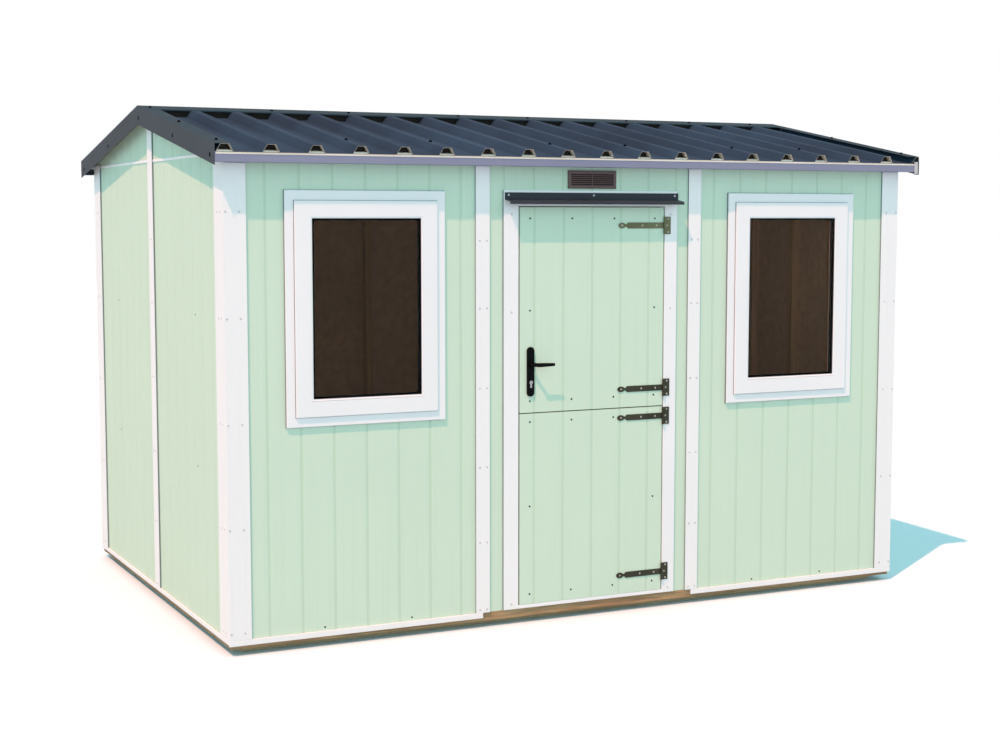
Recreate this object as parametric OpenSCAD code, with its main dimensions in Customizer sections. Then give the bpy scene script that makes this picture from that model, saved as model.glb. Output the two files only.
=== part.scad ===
// Garden office: a hollow building with a split stable door, two windows and a ribbed roof.
// Millimetres. Origin on the ground at the middle; +X right along the door front, front faces -Y.

/* [Building] */
// length over the corner trims
over_l = 3524; // [3500:1:3540]
// depth over the corner trims
over_w = 2400; // [2380:1:2410]
// top of the ridge above the ground
ridge_h = 2399; // [2395:1:2440]
// floor surface above the ground
floor_h = 70; // [66:1:76]
// top of the front and back wall panels
wall_top = 2106; // [2100:1:2107]

/* [Floor] */
// underside of the edge timbers, which is the height of the bearers
rim_z = 30; // [26:1:40]
// underside of the base trim
base_z = 45; // [42:1:55]
// underside of the base trims on the end walls
end_base_z = 50; // [45:1:56]
// width of an edge timber
rim_w = 45; // [40:1:50]
// width of a bearer
bearer_w = 70; // [60:1:90]
// number of bearers
bearers = 7; // [7:1:8]
// how far the bearers stand back from the panels
bearer_inset = 70; // [50:1:100]

/* [Walls] */
// how far trims and strips stand proud of the panels
proud = 8; // [6:1:10]
// thickness of a wall panel
clad_t = 16; // [12:1:18]
// section of the timber framing
stud = 44; // [40:1:44]
// spacing of the studs in the end walls
stud_pitch = 381; // [360:1:384]
// middle bay, centre
mid_x = -8; // [-12:1:0]
// middle bay, from its centre to the panel joints
mid_half = 558.5; // [550:0.5:565]
// corner trim, leg on the long walls
corner_w = 100; // [90:1:110]
// corner trim, leg on the end walls
corner_d = 135; // [120:1:150]
// width of a cover strip on the long walls
strip_w = 70; // [60:1:80]
// width of a cover strip on the end walls
end_strip_w = 90; // [70:1:100]
// level of the joint under the gable panels
gable_z = 2137; // [2134:1:2138]
// height of the strip over that joint
joint_h = 13; // [10:1:16]

/* [Windows] */
// centre of the left window
win_left = -1124; // [-1128:1:-1118]
// centre of the right window
win_right = 1111; // [1106:1:1116]
// frame width
win_w = 744; // [738:1:748]
// frame height
win_h = 1015; // [1008:1:1018]
// underside of the frame
win_z = 970; // [968:1:974]
// flange of the frame that laps over the panel
win_lap = 5; // [4:1:8]
// width of the frame around the sash body
win_frame = 50; // [46:1:54]
// sash width
sash_w = 662; // [656:1:668]
// sash height
sash_h = 928; // [920:1:934]
// visible glass width
lite_w = 503; // [490:1:510]
// visible glass height
lite_h = 773; // [760:1:780]
// thickness of the sealed glass unit
glass_t = 28; // [24:1:28]
// window frame proud of the panel
win_proud = 12; // [8:1:14]
// sash proud of its frame
sash_out = 10; // [8:1:12]
// glass behind the sash face
bead_d = 3; // [3:1:5]

/* [Door] */
// left edge of the frame
frame_left = -463; // [-470:1:-460]
// right edge of the frame
frame_right = 452; // [444:1:454]
// top of the frame
frame_top = 1991; // [1988:1:1996]
// left edge of the opening for the leaves
open_left = -387; // [-388:1:-378]
// right edge of the opening for the leaves
open_right = 384; // [376:1:385]
// top of that opening
open_top = 1920; // [1915:1:1922]
// top of the threshold
open_bottom = 83; // [80:1:86]
// depth of the stop that the leaves close on
stop_w = 17; // [15:1:20]
// height of the split between the leaves
split_z = 976; // [972:1:980]
// running gap above, between and below the leaves
gap = 5; // [5:0.5:6]
// running gap beside the leaves
side_gap = 7; // [5:0.5:8]
// leaf thickness
leaf_t = 44; // [40:1:44]

/* [Tee hinges] */
// heights of the hinges on the upper leaf
upper_hinges = [1831, 1064]; // two heights above the ground
// heights of the hinges on the lower leaf
lower_hinges = [929, 176]; // two heights above the ground
// plate and strap thickness
hinge_t = 3; // [2.5:0.5:4]
// knuckle radius
knuckle_r = 6; // [6:0.5:6.5]
// pin radius
pin_r = 3; // [2.5:0.5:3.5]
// height of the plate on the frame
plate_h = 82; // [76:1:90]
// width of the plate on the frame
plate_w = 34.5; // [34:0.5:42]
// strap width at the pin
strap_w = 28; // [24:1:29]
// strap length from the pin to the middle of its oval end
strap_l = 230; // [210:1:240]
// length of the oval end
finial_l = 39; // [34:1:42]
// depth of the oval end
finial_h = 26; // [22:1:28]

/* [Lever handle] */
// spindle, across
lever_x = -328; // [-332:1:-322]
// spindle, above the ground
lever_z = 1200; // [1190:1:1215]
// lever length from the spindle
lever_l = 94; // [88:1:104]
// lever stand-off from the leaf
lever_out = 50; // [42:1:52]
// lever radius at the neck
lever_r = 9; // [8:0.5:9.5]
// lever radius at its end
lever_tip = 6.5; // [6:0.5:7.5]
// back plate width
back_w = 36; // [32:1:40]
// back plate, top end
back_top = 1280; // [1270:1:1290]
// back plate, bottom end
back_bottom = 1053; // [1040:1:1065]
// back plate thickness
back_t = 8; // [6:1:9]

/* [Drip bar and vent] */
// left end of the drip bar
drip_left = -457; // [-462:1:-455]
// drip bar length
drip_l = 912; // [900:1:915]
// how far the drip bar reaches out
drip_out = 58; // [50:1:62]
// top of its upright
drip_top = 1981; // [1975:1:1985]
// lower edge of its lip
drip_low = 1928; // [1924:1:1934]
// left end of the vent
vent_left = -133; // [-138:1:-130]
// underside of the vent
vent_z = 2000; // [1996:1:2005]
// vent width
vent_w = 252; // [240:1:260]
// vent height
vent_h = 83; // [78:1:88]
// rim of the vent
vent_rim = 15; // [12:1:17]
// bar between its two banks
vent_bar = 5; // [4:1:8]

/* [Roof] */
// pitch in degrees
pitch = 10.1; // [10:0.1:10.2]
// left edge of the roof
roof_left = -1815; // [-1820:1:-1812]
// right edge of the roof
roof_right = 1832; // [1826:1:1838]
// eaves overhang from the trims to the fascia
eaves = 71; // [62:1:76]
// rib pitch of the sheets
rib_pitch = 200; // [198:1:200]
// rib height
rib_h = 34; // [32:1:34]
// first rib centre
rib_first = -1772; // [-1772:1:-1768]
// full ribs on a sheet
ribs = 18; // [18:1:18]
// sheet thickness
sheet_t = 0.8; // [0.7:0.1:1]
// ridge cap and flashing thickness
flash_t = 1; // [0.8:0.1:1.2]
// wing of the ridge cap
cap_w = 135; // [120:1:150]
// depth of the barge flashing
barge_h = 89; // [84:1:95]
// flange of the barge flashing over the outer rib
barge_w = 70; // [60:1:75]
// underside of the eaves fascia
fascia_z = 2097; // [2097:1:2100]
// number of purlins on each slope
purlins = 5; // [5:1:6]

/* [Hidden] */
$fn = 48;
far = 6000;                              // reach of a cutting block
seat = 0.3;                              // clearance where a sheet lies on a sloping edge
side_signs = [-1, 1];
trim_x = over_l / 2;                     // outer faces of the trims
trim_y = over_w / 2;
panel_x = trim_x - proud;                // outer faces of the panels
panel_y = trim_y - proud;
clad_x = panel_x - clad_t;               // inner faces of the panels
clad_y = panel_y - clad_t;
room_x = clad_x - stud;                  // inner faces of the framing
room_y = clad_y - stud;
joint_left = mid_x - mid_half;           // panel joints beside the door
joint_right = mid_x + mid_half;
trim_top = wall_top - 10;
win_mid = win_z + win_h / 2;
sash_mid = win_mid - 1;
win_face = -panel_y - win_proud;
glass_y = win_face - sash_out + bead_d;  // front of the pocket for the glass
leaf_left = open_left + side_gap;
leaf_right = open_right - side_gap;
leaf_back = -trim_y + leaf_t;
pin_x = open_right - side_gap / 2;       // hinge line
pin_y = -trim_y - knuckle_r;
knuckle_h = strap_w / 2 + 0.5;           // half the gap between the frame's knuckles
eaves_y = trim_y + eaves;
roof_z = ridge_h - (rib_h + flash_t + seat) / cos(pitch);   // sheet face on the ridge line
soffit = roof_z - (sheet_t + seat) / cos(pitch);            // under the sheet on the ridge line
leg_top = soffit - trim_y * tan(pitch) - 1;                 // corner trims on the end walls

// block between two corners
module block(low, high) {
  translate(low) cube([high[0] - low[0], high[1] - low[1], high[2] - low[2]]);
}

// block whose X span is given by two faces in either order
module end_block(x0, x1, y0, y1, z0, z1) {
  block([min(x0, x1), min(y0, y1), z0], [max(x0, x1), max(y0, y1), z1]);
}

// frame of a roof slope: +Y runs down the slope from the ridge, +Z is the outward normal
module on_slope(side) {
  mirror([0, side < 0 ? 1 : 0, 0]) translate([0, 0, roof_z]) rotate([-pitch, 0, 0]) children();
}

// outline in the YZ plane extruded along X
module along_x(x, length) {
  translate([x, 0, 0]) rotate([90, 0, 90]) linear_extrude(length) children();
}

// ---------------- floor ----------------

module floor_bearers() color("saddlebrown") {
  first = -panel_y + bearer_inset;
  step = (-2 * first - bearer_w) / (bearers - 1);
  for (k = [0:bearers - 1]) block([-panel_x + bearer_inset, first + k * step, 0],
                                  [panel_x - bearer_inset, first + k * step + bearer_w, rim_z]);
}

module floor_panel() color("burlywood")
  block([-panel_x + rim_w, -panel_y + rim_w, rim_z], [panel_x - rim_w, panel_y - rim_w, floor_h]);

module floor_edge_timbers() color("peru") for (s = side_signs) {
  end_block(-panel_x, panel_x, s * panel_y, s * (panel_y - rim_w), rim_z, floor_h);
  end_block(s * panel_x, s * (panel_x - rim_w), -panel_y + rim_w + 0.5, panel_y - rim_w - 0.5,
            rim_z, floor_h);
}

// the front trim stops at the panel joints beside the door
module base_trims() color("white") {
  block([-trim_x, -trim_y, base_z], [joint_left, -panel_y, floor_h]);
  block([joint_right, -trim_y, base_z], [trim_x, -panel_y, floor_h]);
  block([-trim_x, panel_y, base_z], [trim_x, trim_y, floor_h]);
  for (s = side_signs)
    end_block(s * panel_x, s * trim_x, -panel_y + 0.5, panel_y - 0.5, end_base_z, floor_h);
}

// ---------------- timber framing ----------------

// sole plates, broken at the door, and head plates of the long walls
module long_wall_plates() color("tan") {
  block([-clad_x, -clad_y, floor_h], [frame_left, -room_y, floor_h + stud]);
  block([frame_right, -clad_y, floor_h], [clad_x, -room_y, floor_h + stud]);
  block([-clad_x, room_y, floor_h], [clad_x, clad_y, floor_h + stud]);
  for (s = side_signs)
    end_block(-clad_x, clad_x, s * room_y, s * clad_y, wall_top - stud, wall_top);
}

module end_wall_plates() color("tan") for (s = side_signs) for (z = [floor_h, wall_top - stud])
  end_block(s * room_x, s * clad_x, -room_y, room_y, z, z + stud);

// stud centred on a point of the plan
module stud_at(x, y) {
  translate([x - stud / 2, y - stud / 2, floor_h + stud])
    cube([stud, stud, wall_top - floor_h - 2 * stud]);
}

module front_wall_studs() color("wheat") {
  beside_window = win_w / 2 - win_lap + stud / 2;
  corner_stud = clad_x - stud / 2;
  for (x = [-corner_stud, corner_stud, joint_left, joint_right,
            frame_left - stud / 2, frame_right + stud / 2,
            win_left - beside_window, win_left + beside_window,
            win_right - beside_window, win_right + beside_window])
    stud_at(x, -clad_y + stud / 2);
}

// studs at the panel joints and at the thirds of each bay
module back_wall_studs() color("wheat") {
  corner_stud = clad_x - stud / 2;
  for (k = [0:3]) stud_at(joint_left + (joint_right - joint_left) * k / 3, clad_y - stud / 2);
  for (k = [1:3]) {
    stud_at(joint_left + (-corner_stud - joint_left) * k / 3, clad_y - stud / 2);
    stud_at(joint_right + (corner_stud - joint_right) * k / 3, clad_y - stud / 2);
  }
}

module end_wall_studs() color("wheat") for (s = side_signs) for (k = [-2:2])
  stud_at(s * (clad_x - stud / 2), k * stud_pitch);

// rails under and over each window, and the rail over the door
module opening_rails() color("wheat") {
  for (x = [win_left, win_right]) for (z = [win_z + win_lap - stud, win_z + win_h - win_lap])
    block([x - win_w / 2 + win_lap, -clad_y, z], [x + win_w / 2 - win_lap, -room_y, z + stud]);
  block([frame_left, -clad_y, frame_top], [frame_right, -room_y, wall_top - stud]);
}

// ---------------- wall panels ----------------

// front panel with a hole for the window body
module front_panel(x0, x1, window) difference() {
  block([x0, -panel_y, floor_h], [x1, -clad_y, wall_top]);
  block([window - win_w / 2 + win_lap, -panel_y - 5, win_z + win_lap],
        [window + win_w / 2 - win_lap, -clad_y + 5, win_z + win_h - win_lap]);
}

module front_left_wall_panel() color("palegreen")
  front_panel(-panel_x, joint_left - 0.5, win_left);

module front_right_wall_panel() color("palegreen")
  front_panel(joint_right + 0.5, panel_x, win_right);

module door_side_wall_panels() color("palegreen") {
  block([joint_left + 0.5, -panel_y, floor_h], [frame_left, -clad_y, frame_top]);
  block([frame_right, -panel_y, floor_h], [joint_right - 0.5, -clad_y, frame_top]);
}

module door_head_wall_panel() color("palegreen")
  block([joint_left + 0.5, -panel_y, frame_top], [joint_right - 0.5, -clad_y, wall_top]);

// two panels of an end wall, between the long walls
module end_panels(s) for (t = side_signs)
  end_block(s * clad_x, s * panel_x, t * 0.5, t * clad_y, floor_h, gable_z - 0.5);

module left_wall_panels() color("palegreen") end_panels(-1);
module right_wall_panels() color("palegreen") end_panels(1);

module back_wall_panels() color("palegreen") {
  block([-panel_x, clad_y, floor_h], [joint_left - 0.5, panel_y, wall_top]);
  block([joint_left + 0.5, clad_y, floor_h], [joint_right - 0.5, panel_y, wall_top]);
  block([joint_right + 0.5, clad_y, floor_h], [panel_x, panel_y, wall_top]);
}

// half gables, cut to the slope under the roof sheets
module gable_panels() color("palegreen") for (s = side_signs) for (t = side_signs)
  mirror([0, t < 0 ? 1 : 0, 0]) along_x(min(s * clad_x, s * panel_x), clad_t)
    polygon([[0.5, gable_z], [clad_y - 1, gable_z],
             [clad_y - 1, soffit - (clad_y - 1) * tan(pitch)], [0.5, soffit - 0.5 * tan(pitch)]]);

// ---------------- trims ----------------

// angles on the corners; the leg on the end wall runs up to the roof
module corner_trims() color("white") for (s = side_signs) for (t = side_signs)
  mirror([s < 0 ? 1 : 0, 0, 0]) mirror([0, t < 0 ? 1 : 0, 0]) {
    block([trim_x - corner_w, panel_y, floor_h], [trim_x, trim_y, trim_top]);
    block([panel_x, trim_y - corner_d, floor_h], [trim_x, trim_y, leg_top]);
  }

module cover_strips() color("white") for (x = [joint_left, joint_right]) for (s = side_signs)
  end_block(x - strip_w / 2, x + strip_w / 2, s * panel_y, s * trim_y, floor_h, trim_top);

module end_cover_strips() color("white") for (s = side_signs)
  end_block(s * panel_x, s * trim_x, -end_strip_w / 2, end_strip_w / 2, floor_h,
            soffit - end_strip_w / 2 * tan(pitch) - 1);

module gable_joint_strips() color("white") for (s = side_signs) for (t = side_signs)
  end_block(s * panel_x, s * (panel_x + proud / 2), t * (end_strip_w / 2 + 0.5),
            t * (trim_y - corner_d - 0.5), gable_z - joint_h / 2, gable_z + joint_h / 2);

// ---------------- windows ----------------

// rectangular ring in the wall plane, from y0 to y1
module ring(x, z, outer, inner, y0, y1) difference() {
  block([x - outer[0] / 2, y0, z - outer[1] / 2], [x + outer[0] / 2, y1, z + outer[1] / 2]);
  block([x - inner[0] / 2, y0 - 1, z - inner[1] / 2], [x + inner[0] / 2, y1 + 1, z + inner[1] / 2]);
}

frame_hole = [win_w - 2 * win_frame, win_h - 2 * win_frame];
frame_body = [win_w - 2 * win_lap - 0.4, win_h - 2 * win_lap - 0.4];
sash_back = glass_y + glass_t + 12;

// outer frame: a flange over the panel and a body through the wall
module window_frame(x) {
  ring(x, win_mid, [win_w, win_h], frame_hole, win_face, -panel_y);
  ring(x, win_mid, frame_body, frame_hole, -panel_y - 1, -room_y);
}

// fixed sash: a face lip over the frame and a body inside it, open at the glass and grooved for it
module window_sash(x) difference() {
  union() {
    block([x - sash_w / 2, win_face - sash_out, sash_mid - sash_h / 2],
          [x + sash_w / 2, win_face, sash_mid + sash_h / 2]);
    block([x - frame_hole[0] / 2 + 0.5, win_face - 1, win_mid - frame_hole[1] / 2 + 0.5],
          [x + frame_hole[0] / 2 - 0.5, sash_back, win_mid + frame_hole[1] / 2 - 0.5]);
  }
  block([x - lite_w / 2, win_face - sash_out - 5, win_mid - lite_h / 2],
        [x + lite_w / 2, sash_back + 5, win_mid + lite_h / 2]);
  block([x - lite_w / 2 - 10, glass_y, win_mid - lite_h / 2 - 10],
        [x + lite_w / 2 + 10, glass_y + glass_t + 1, win_mid + lite_h / 2 + 10]);
}

module left_window_frame() color("white") window_frame(win_left);
module right_window_frame() color("white") window_frame(win_right);
module left_window_sash() color("whitesmoke") window_sash(win_left);
module right_window_sash() color("whitesmoke") window_sash(win_right);

module window_glass() color("slategray") for (x = [win_left, win_right])
  block([x - lite_w / 2 - 9, glass_y + 0.5, win_mid - lite_h / 2 - 9],
        [x + lite_w / 2 + 9, glass_y + 0.5 + glass_t, win_mid + lite_h / 2 + 9]);

// ---------------- door ----------------

// jambs, head and threshold, rebated for the leaves
module door_frame() color("white") difference() {
  block([frame_left, -trim_y, floor_h], [frame_right, -room_y, frame_top]);
  block([open_left, -trim_y - 5, open_bottom], [open_right, leaf_back + gap, open_top]);
  block([open_left + stop_w, -trim_y, open_bottom],
        [open_right - stop_w, -room_y + 5, open_top - stop_w]);
}

module leaf(z0, z1) block([leaf_left, -trim_y, z0], [leaf_right, leaf_back, z1]);

module upper_door_leaf() color("palegreen") difference() {
  leaf(split_z + gap / 2, open_top - gap);
  translate([lever_x, -trim_y - 5, lever_z]) rotate([-90, 0, 0]) cylinder(r = 14, h = leaf_t + 10);
}

module lower_door_leaf() color("palegreen") leaf(open_bottom + gap, split_z - gap / 2);

// frame side of each tee hinge: plate, two knuckles and the pin
module hinge_plates() color("darkolivegreen")
  for (z = concat(upper_hinges, lower_hinges)) translate([0, 0, z]) {
    for (side = side_signs) intersection() {
      union() {
        block([pin_x + 1.5, -trim_y - hinge_t, -plate_h / 2],
              [pin_x + plate_w, -trim_y, plate_h / 2]);
        translate([pin_x, pin_y, -plate_h / 2]) cylinder(r = knuckle_r, h = plate_h);
      }
      translate([0, 0, side * (knuckle_h + far / 2)]) cube(far, center = true);
    }
    block([pin_x + knuckle_r + 2, -trim_y - hinge_t, -plate_h / 2],
          [pin_x + plate_w, -trim_y, plate_h / 2]);
    translate([pin_x, pin_y, -plate_h / 2]) cylinder(r = pin_r, h = plate_h);
  }

// strap outline from the pin to its shoulders, neck and oval end
module strap_outline() {
  neck = strap_l - finial_l / 2 - 6;
  shoulder = neck - 7;
  polygon([[-10, -strap_w / 2], [-10, strap_w / 2], [-shoulder, strap_w / 2], [-neck, 6],
           [-strap_l, 6], [-strap_l, -6], [-neck, -6], [-shoulder, -strap_w / 2]]);
  translate([-strap_l, 0]) scale([finial_l / 2, finial_h / 2]) circle(r = 1);
}

// leaf side of a tee hinge: bored knuckle and long strap
module strap(z) translate([pin_x, 0, z]) difference() {
  union() {
    translate([0, pin_y, -strap_w / 2]) cylinder(r = knuckle_r, h = strap_w);
    block([-20, -trim_y - hinge_t, -strap_w / 2], [-1.5, -trim_y, strap_w / 2]);
    translate([0, -trim_y, 0]) rotate([90, 0, 0]) linear_extrude(hinge_t) strap_outline();
  }
  translate([0, pin_y, -strap_w]) cylinder(r = pin_r + 0.1, h = 2 * strap_w);
}

module upper_hinge_straps() color("darkolivegreen") for (z = upper_hinges) strap(z);
module lower_hinge_straps() color("darkolivegreen") for (z = lower_hinges) strap(z);

// long back plate with round ends, bored for the lever
module back_plate(y) translate([lever_x, y, 0]) rotate([90, 0, 0]) difference() {
  linear_extrude(back_t) {
    translate([-back_w / 2, back_bottom + back_w / 2])
      square([back_w, back_top - back_bottom - back_w]);
    for (z = [back_bottom + back_w / 2, back_top - back_w / 2]) translate([0, z]) circle(d = back_w);
  }
  translate([0, lever_z, -1]) cylinder(r = lever_r + 0.1, h = back_t + 2);
}

module handle_plates() color("black") {
  back_plate(-trim_y);
  back_plate(leaf_back + back_t);
}

// neck and grip of a lever that stands off to one side of the leaf
module grip(face, out) {
  translate([lever_x, min(face, face + out), lever_z]) rotate([-90, 0, 0])
    cylinder(r = lever_r, h = abs(out));
  translate([lever_x, face + out, lever_z]) {
    sphere(r = lever_r);
    rotate([0, 90, 0]) cylinder(r1 = lever_r, r2 = lever_tip, h = lever_l);
  }
  translate([lever_x + lever_l, face + out, lever_z]) sphere(r = lever_tip);
}

module door_lever() color("black") {
  grip(-trim_y + 2, -lever_out - 2);
  grip(leaf_back - 2, lever_out + 2);
  translate([lever_x, -trim_y, lever_z]) rotate([-90, 0, 0]) cylinder(r = 4, h = leaf_t);
}

// folded bar: upright on the frame head, sloping shelf and a turned-down lip
module door_drip_bar() color("dimgray") along_x(drip_left, drip_l) {
  shelf = drip_low + 20;
  polygon([[-trim_y, drip_top], [-trim_y - hinge_t, drip_top], [-trim_y - hinge_t, shelf + 3],
           [-trim_y - drip_out + 1, shelf - 6], [-trim_y - drip_out, drip_low],
           [-trim_y - drip_out + 2, drip_low], [-trim_y - drip_out + 3, shelf - 8.5],
           [-trim_y, shelf]]);
}

// vent plate with two recesses for the slats
module vent_grille() color("sienna") difference() {
  lite_vent = (vent_w - 2 * vent_rim - vent_bar) / 2;
  block([vent_left, -trim_y, vent_z], [vent_left + vent_w, -panel_y, vent_z + vent_h]);
  for (x = [vent_left + vent_rim, vent_left + vent_rim + lite_vent + vent_bar])
    block([x, -trim_y - 1, vent_z + vent_rim],
          [x + lite_vent, -panel_y - 3, vent_z + vent_h - vent_rim]);
}

// ---------------- roof ----------------

// rafters along the gables, and the posts under the ridge beam
beam_h = 150;
beam_top = roof_z - 13;

module gable_framing() color("wheat") for (s = side_signs) {
  x = min(s * room_x, s * clad_x);
  for (t = side_signs) difference() {
    on_slope(t) translate([x, 10, -sheet_t - 2 * stud]) cube([stud, clad_y, stud]);
    block([-far, -far, -far], [far, far, wall_top + seat]);
    block([-far, -stud / 2 - 0.5, 0], [far, stud / 2 + 0.5, far]);
    end_block(-far, far, t * (room_y - 1), t * far, 0, far);
  }
  block([x, -stud / 2, wall_top], [x + stud, stud / 2, beam_top - beam_h]);
}

module ridge_beam() color("wheat")
  block([-clad_x, -stud / 2, beam_top - beam_h], [clad_x, stud / 2, beam_top]);

// purlins under the sheets, the last one over the wall plates
module roof_purlins() color("tan") {
  first = 40;
  last = clad_y / cos(pitch) - stud - 3;
  for (t = side_signs) on_slope(t) for (k = [0:purlins - 1])
    translate([-clad_x + 0.5, first + k * (last - first) / (purlins - 1), -sheet_t - stud])
      cube([2 * clad_x - 1, stud, stud]);
}

// ribbed sheet seen along the slope: outer face, then the inner face one thickness below
foot = 38;                                // half a rib at its foot
crown = 18.5;                             // half a rib at its top
web = sheet_t * tan(atan(rib_h / (foot - crown)) / 2);   // shift of the inner corners
sheet_right = roof_right - flash_t - 1;
last_rib = rib_first + ribs * rib_pitch;  // part rib under the right barge

function sheet_line(shift, drop) = concat(
  [for (i = [0:ribs - 1]) let (c = rib_first + i * rib_pitch) each
    [[c - foot + shift, -drop], [c - crown + shift, rib_h - drop],
     [c + crown - shift, rib_h - drop], [c + foot - shift, -drop]]],
  [[last_rib - foot + shift, -drop], [last_rib - crown + shift, rib_h - drop],
   [sheet_right, rib_h - drop]]);
function reversed(points) = [for (i = [len(points) - 1:-1:0]) points[i]];

module roof_sheet(side) {
  start = 25;
  end = eaves_y / cos(pitch);
  on_slope(side) translate([0, end, 0]) rotate([90, 0, 0]) linear_extrude(end - start)
    polygon(concat(sheet_line(0, 0), reversed(sheet_line(web, sheet_t))));
}

module front_roof_sheet() color("darkslategray") roof_sheet(-1);
module back_roof_sheet() color("darkslategray") roof_sheet(1);

// folded cap whose wings lie on the ribs, between the barge flashings
module ridge_cap() color("slategray") {
  w = cap_w * cos(pitch);
  drop = cap_w * sin(pitch);
  in_y = flash_t * sin(pitch);
  in_z = flash_t * cos(pitch);
  along_x(roof_left + flash_t + 0.5, roof_right - roof_left - 2 * flash_t - 1)
    polygon([[0, ridge_h], [w, ridge_h - drop], [w - in_y, ridge_h - drop - in_z],
             [0, ridge_h - flash_t / cos(pitch)], [-w + in_y, ridge_h - drop - in_z],
             [-w, ridge_h - drop]]);
}

// upright face and a flange over the outer rib, mitred on the ridge and plumb at the eaves
module barge(x, inward, side) intersection() {
  on_slope(side) {
    translate([min(x, x + inward * flash_t), -30, rib_h + seat + flash_t - barge_h])
      cube([flash_t, eaves_y + 100, barge_h]);
    translate([min(x, x + inward * barge_w), cap_w + 2, rib_h + seat])
      cube([barge_w, eaves_y, flash_t]);
  }
  end_block(-far, far, side * 0.3, side * (eaves_y + 1), 0, far);
}

module barge_flashings() color("dimgray") for (side = side_signs) {
  barge(roof_left, 1, side);
  barge(roof_right, -1, side);
}

// angle under the eaves: upright face and a return to the wall
module eaves_fascias() color("lightsteelblue") for (s = side_signs) {
  x0 = roof_left + flash_t + 0.5;
  x1 = roof_right - flash_t - 0.5;
  end_block(x0, x1, s * (eaves_y - 1.2), s * eaves_y, fascia_z, soffit - eaves_y * tan(pitch));
  end_block(x0, x1, s * (trim_y + 0.3), s * eaves_y, fascia_z, fascia_z + 1.2);
  end_block(-panel_x + 0.5, panel_x - 0.5, s * (panel_y + 0.3), s * (trim_y + 1),
            fascia_z, fascia_z + 1.2);
}

floor_bearers();
floor_panel();
floor_edge_timbers();
base_trims();
long_wall_plates();
end_wall_plates();
front_wall_studs();
back_wall_studs();
end_wall_studs();
opening_rails();
front_left_wall_panel();
front_right_wall_panel();
door_side_wall_panels();
door_head_wall_panel();
left_wall_panels();
right_wall_panels();
back_wall_panels();
gable_panels();
corner_trims();
cover_strips();
end_cover_strips();
gable_joint_strips();
left_window_frame();
right_window_frame();
left_window_sash();
right_window_sash();
window_glass();
door_frame();
upper_door_leaf();
lower_door_leaf();
hinge_plates();
upper_hinge_straps();
lower_hinge_straps();
handle_plates();
door_lever();
door_drip_bar();
vent_grille();
gable_framing();
ridge_beam();
roof_purlins();
front_roof_sheet();
back_roof_sheet();
ridge_cap();
barge_flashings();
eaves_fascias();
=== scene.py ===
# Garden office: the finish of a small outbuilding, in the order in which it is put together.
import math

import bpy
from mathutils import Matrix, Vector


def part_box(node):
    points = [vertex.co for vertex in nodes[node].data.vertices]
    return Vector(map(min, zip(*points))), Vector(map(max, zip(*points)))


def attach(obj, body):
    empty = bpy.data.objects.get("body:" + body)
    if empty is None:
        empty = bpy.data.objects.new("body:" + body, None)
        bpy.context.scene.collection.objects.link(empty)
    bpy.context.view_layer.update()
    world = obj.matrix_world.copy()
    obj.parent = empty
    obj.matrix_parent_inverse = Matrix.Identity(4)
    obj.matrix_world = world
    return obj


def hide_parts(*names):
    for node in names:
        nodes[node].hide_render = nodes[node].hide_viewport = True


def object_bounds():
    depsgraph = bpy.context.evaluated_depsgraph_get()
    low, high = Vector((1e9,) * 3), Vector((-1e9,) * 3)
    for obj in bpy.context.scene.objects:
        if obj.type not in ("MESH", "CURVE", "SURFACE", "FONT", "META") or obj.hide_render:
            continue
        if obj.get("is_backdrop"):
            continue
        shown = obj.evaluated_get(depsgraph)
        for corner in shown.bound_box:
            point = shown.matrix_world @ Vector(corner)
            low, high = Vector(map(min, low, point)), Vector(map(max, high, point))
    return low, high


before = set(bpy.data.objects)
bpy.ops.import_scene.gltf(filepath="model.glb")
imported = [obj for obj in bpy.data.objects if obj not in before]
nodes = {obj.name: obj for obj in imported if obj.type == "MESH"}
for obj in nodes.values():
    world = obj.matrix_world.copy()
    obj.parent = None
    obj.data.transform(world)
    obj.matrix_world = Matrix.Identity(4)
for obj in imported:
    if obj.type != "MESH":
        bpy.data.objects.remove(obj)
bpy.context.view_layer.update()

# ---------------------------------------------------------------------------------------------
# The studio: a camera at standing height off the front left corner, a white floor that takes
# the shadow, a warm lamp for the sun, a soft one from the front right, and a blue-green sky,
# brightest low down. Seen directly, in metal or through glass, sky and floor are plain and pale.


def set_inputs(node, values):
    """Sets a node's inputs by name; an underscore in a name stands for a space."""
    for label, value in values.items():
        node.inputs[label.replace("_", " ")].default_value = value
    return node


def add_node(tree, kind, operation=None, **values):
    """New shader node, with what it does and its input values."""
    node = tree.nodes.new("ShaderNode" + kind)
    if operation:
        node.operation = operation
    return set_inputs(node, values)


def add_mix(tree, **tones):
    """Mix of the colours A and B by its Factor."""
    node = tree.nodes.new("ShaderNodeMix")
    node.data_type = "RGBA"
    return set_inputs(node, tones)


def wire(tree, *pairs):
    """Joins each output to its input."""
    for output, socket in pairs:
        tree.links.new(output, socket)


def finish_of(name, roughness, metallic=0.0, shine=0.5):
    """New material: returns it, its tree and its shader."""
    material = bpy.data.materials.new(name)
    material.use_nodes = True
    shader = material.node_tree.nodes["Principled BSDF"]
    set_inputs(shader, {"Roughness": roughness, "Metallic": metallic, "Specular IOR Level": shine})
    return material, material.node_tree, shader


def seen_rays(tree):
    """1 for what the camera sees directly, in metal or through glass; 0 for light on a surface."""
    path = add_node(tree, "LightPath")
    seen = path.outputs["Is Camera Ray"]
    for ray in ("Is Glossy Ray", "Is Transmission Ray"):
        either = add_node(tree, "Math", "MAXIMUM")
        wire(tree, (seen, either.inputs[0]), (path.outputs[ray], either.inputs[1]))
        seen = either.outputs[0]
    return seen


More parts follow.
